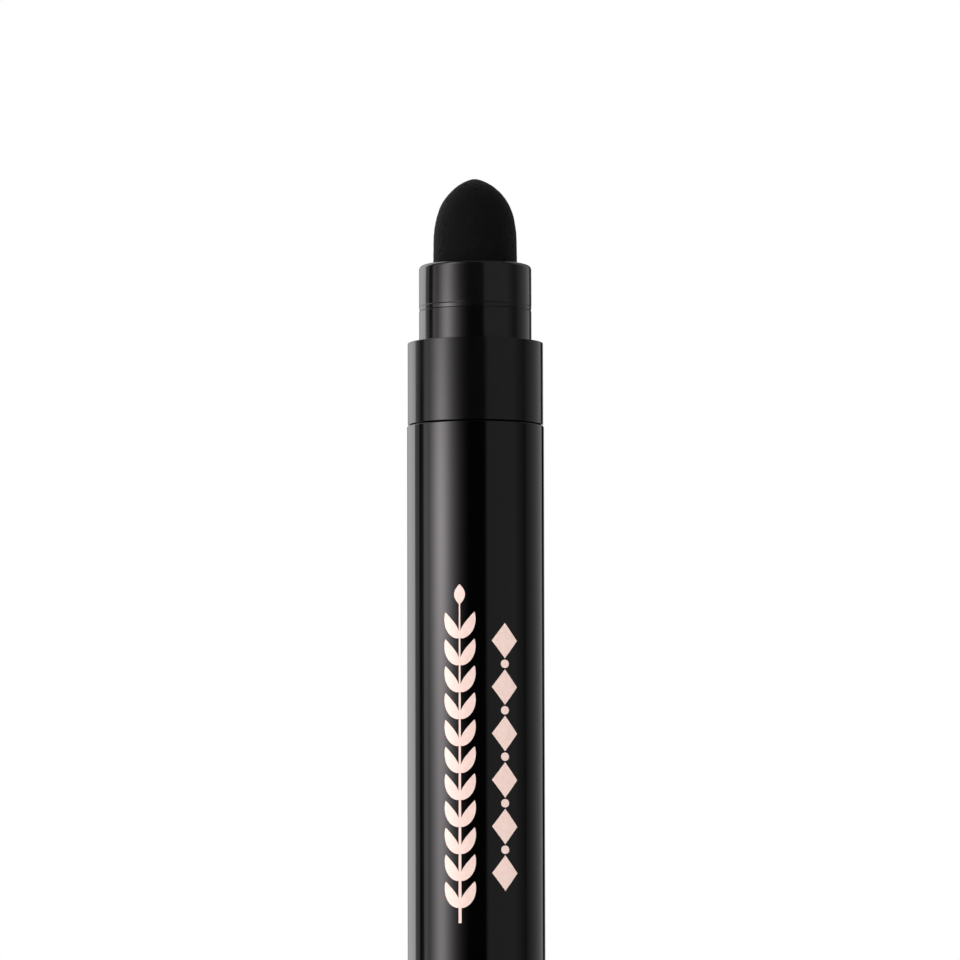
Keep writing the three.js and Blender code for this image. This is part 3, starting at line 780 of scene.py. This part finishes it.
# Studio: pale floor that fades to white, a ring of cards for the gloss to mirror, soft lamps
studio = {
    "ambient": 0.25,
    "floorRadius": 6.0, "floorSides": 128, "floorDrop": 0.00002, "floorColour": "#e8e8e8",  # metres
    "fadeFrom": -0.15, "fadeTo": 0.75,  # metres from the pencil, from board to white
    "cardRadius": 0.06, "cardHeight": 0.22, "cardRows": 120,  # metres, rows of mesh up the cards
    # the cards' feet run in over the floor to the hole, where the floor's own light takes over
    "apronHole": 0.008, "apronFade": 0.012, "apronLift": 0.00005, "apronRows": 24,
    "cardColour": "#f8f8f8", "ceiling": 0.2, "ceilingSides": 72, "floorLevel": 0.5,
    # bearings are degrees from the camera's side of the pencil, right is plus
    # the softbox is dark at its ends and brightest at its lamp, lampUp metres above the floor
    "softbox": {
        "colour": "#fff8fa", "middle": -58.8, "half": 49, "hot": 11.7, "level": 5.85,
        "lampUp": 0.118, "lampSpread": 0.013, "aboveLamp": 0.6, "belowLamp": 0.7,
    },
    # bearings each card spans, brightness at both ends, degrees over which its edges fade
    "cards": {
        "rearLeft": (-163, -120, 0.48, 2.85, 2), "sideLeft": (-120, -106.3, 0.55, 0.5, 2),
        "strip": (-94.5, -85, 0.85, 0.5, 3), "right": (17.2, 68, 0.3, 0.31, 5),
        "rightEnd": (68, 88, 0.25, 0.08, 3), "rearRight": (89, 143.5, 0.13, 0.75, 4),
        "back": (160, 186, 0.5, 1.7, 8), "backLeft": (-186, -166, 1.7, 0.9, 8),
    },
    # bearing, elevation in degrees, distance and size in metres, watts
    "lamps": {
        "key": (-60, 25, 0.6, 0.4, 0.9), "front": (30, 16, 0.7, 0.5, 5.0),
        "rear": (165, 40, 0.8, 0.6, 2.8),
    },
}


# 1 for the rays that see the background itself: camera, glossy and transmitted ones
def seenRays(tree):
    rays = addNode(tree, "ShaderNodeLightPath").outputs
    direct = addNode(tree, "ShaderNodeMath", {
        0: rays["Is Camera Ray"], 1: rays["Is Glossy Ray"]}, operation="MAXIMUM")
    seen = addNode(tree, "ShaderNodeMath", {
        0: direct.outputs[0], 1: rays["Is Transmission Ray"]}, operation="MAXIMUM")
    return seen.outputs[0]


def setWorld(s):
    world = bpy.data.worlds.new("studio")
    bpy.context.scene.world = world
    world.use_nodes = True
    tree = world.node_tree
    tree.nodes.clear()
    strength = addNode(tree, "ShaderNodeMapRange", {
        "Value": seenRays(tree), "To Min": s["ambient"], "To Max": 1})
    light = addNode(tree, "ShaderNodeBackground", {
        "Color": (1, 1, 1, 1), "Strength": strength.outputs[0]})
    addNode(tree, "ShaderNodeOutputWorld", {"Surface": light.outputs[0]})


def layFloor(s):
    bpy.ops.mesh.primitive_circle_add(
        vertices=s["floorSides"], radius=s["floorRadius"], fill_type="NGON")
    floor = bpy.context.object
    floor.name = "floor"
    floor.location.z = -s["floorDrop"]
    material, tree = emptyMaterial("painted board, matte")
    place = addNode(tree, "ShaderNodeTexCoord").outputs["Object"]
    far = addNode(tree, "ShaderNodeVectorMath", {0: place}, operation="LENGTH")
    fade = addNode(tree, "ShaderNodeMapRange", {
        "Value": far.outputs["Value"], "From Min": s["fadeFrom"], "From Max": s["fadeTo"]},
        interpolation_type="SMOOTHSTEP")
    white = addNode(tree, "ShaderNodeMath", {
        0: fade.outputs[0], 1: seenRays(tree)}, operation="MULTIPLY")
    board = addNode(tree, "ShaderNodeBsdfDiffuse", {"Color": linear(s["floorColour"])})
    glow = addNode(tree, "ShaderNodeEmission", {"Strength": 1})
    mix = addNode(tree, "ShaderNodeMixShader", {
        0: white.outputs[0], 1: board.outputs[0], 2: glow.outputs[0]})
    addNode(tree, "ShaderNodeOutputMaterial", {"Surface": mix.outputs[0]})
    floor.data.materials.append(material)


# brightness at a bearing, of the plain cards and of the softbox
def cardLight(s, bearing):
    box = s["softbox"]
    off = abs(bearing - box["middle"])
    hot = box["level"] * max(0, 1 - (off / box["half"]) ** 2) / math.cosh(off / box["hot"])
    flat = 0
    for left, right, first, last, edge in s["cards"].values():
        inside = min(bearing - left, right - bearing) / edge + 0.5  # a fade lies half inside its edge
        part = min(1, max(0, (bearing - left) / (right - left)))
        flat += min(1, max(0, inside)) * (first + (last - first) * part)
    return flat, hot


# ring of cards, which only reflections see, with a column of mesh for each degree
def standCards(s):
    bm = bmesh.new()
    level = bm.verts.layers.float.new("level")
    boxShare = bm.verts.layers.float.new("boxShare")
    box = s["softbox"]
    apronWide = s["cardRadius"] - s["apronHole"]
    profile = [(s["apronHole"] + apronWide * row / s["apronRows"], s["apronLift"])
               for row in range(s["apronRows"])]
    profile += [(s["cardRadius"], s["cardHeight"] * part) for part in shares(s["cardRows"])]
    columns = []
    for bearing in range(-180, 181):
        flat, hot = cardLight(s, bearing)
        angle = math.radians(bearing)
        column = []
        for radius, height in profile:
            vert = bm.verts.new((radius * math.sin(angle), -radius * math.cos(angle), height))
            near = math.exp(-((height - box["lampUp"]) / box["lampSpread"]) ** 2)
            dim = box["aboveLamp"] if height > box["lampUp"] else box["belowLamp"]
            boxShine = hot * (dim + (1 - dim) * near)
            shine = flat + boxShine
            vert[boxShare] = boxShine / shine if shine > 0 else 0
            bare = max(0, 1 - (radius - s["apronHole"]) / s["apronFade"])
            vert[level] = shine + (s["floorLevel"] - shine) * bare
            column.append(vert)
        columns.append(column)
    for left, right in zip(columns, columns[1:]):
        for row in range(len(profile) - 1):
            bm.faces.new((left[row], right[row], right[row + 1], left[row + 1]))
    ceiling = []
    for step in range(s["ceilingSides"]):
        angle = 2 * math.pi * step / s["ceilingSides"]
        out = Vector((math.sin(angle), -math.cos(angle), 0)) * s["cardRadius"]
        vert = bm.verts.new(out + Vector((0, 0, s["cardHeight"])))
        vert[level] = s["ceiling"]
        ceiling.append(vert)
    bm.faces.new(ceiling)
    cards = pieceFrom("cards", bm)
    material, tree = emptyMaterial("studio cards")
    bright = addNode(tree, "ShaderNodeAttribute", attribute_name="level")
    share = addNode(tree, "ShaderNodeAttribute", attribute_name="boxShare")
    tint = addNode(tree, "ShaderNodeMix", {
        "Factor": share.outputs["Fac"], mixA: linear(s["cardColour"]), mixB: linear(box["colour"])},
        data_type="RGBA")
    glow = addNode(tree, "ShaderNodeEmission", {
        "Color": tint.outputs[mixOut], "Strength": bright.outputs["Fac"]})
    addNode(tree, "ShaderNodeOutputMaterial", {"Surface": glow.outputs[0]})
    cards.data.materials.append(material)
    cards.visible_camera = cards.visible_diffuse = False
    cards.visible_shadow = cards.visible_transmission = False


def hangLamps(s):
    for name, (bearing, elevation, distance, size, watts) in s["lamps"].items():
        lamp = bpy.data.lights.new(name, "AREA")
        lamp.size, lamp.energy = size, watts
        holder = bpy.data.objects.new(name, lamp)
        bpy.context.collection.objects.link(holder)
        a, e = math.radians(bearing), math.radians(elevation)
        out = Vector((math.sin(a) * math.cos(e), -math.cos(a) * math.cos(e), math.sin(e)))
        holder.location = out * distance + Vector((0, 0, cameraSet["aim"] * mm))
        holder.rotation_euler = out.to_track_quat("Z", "Y").to_euler()
        holder.visible_glossy = False  # the cards are what gloss mirrors


setWorld(studio)
layFloor(studio)
standCards(studio)
hangLamps(studio)
print("studio set")
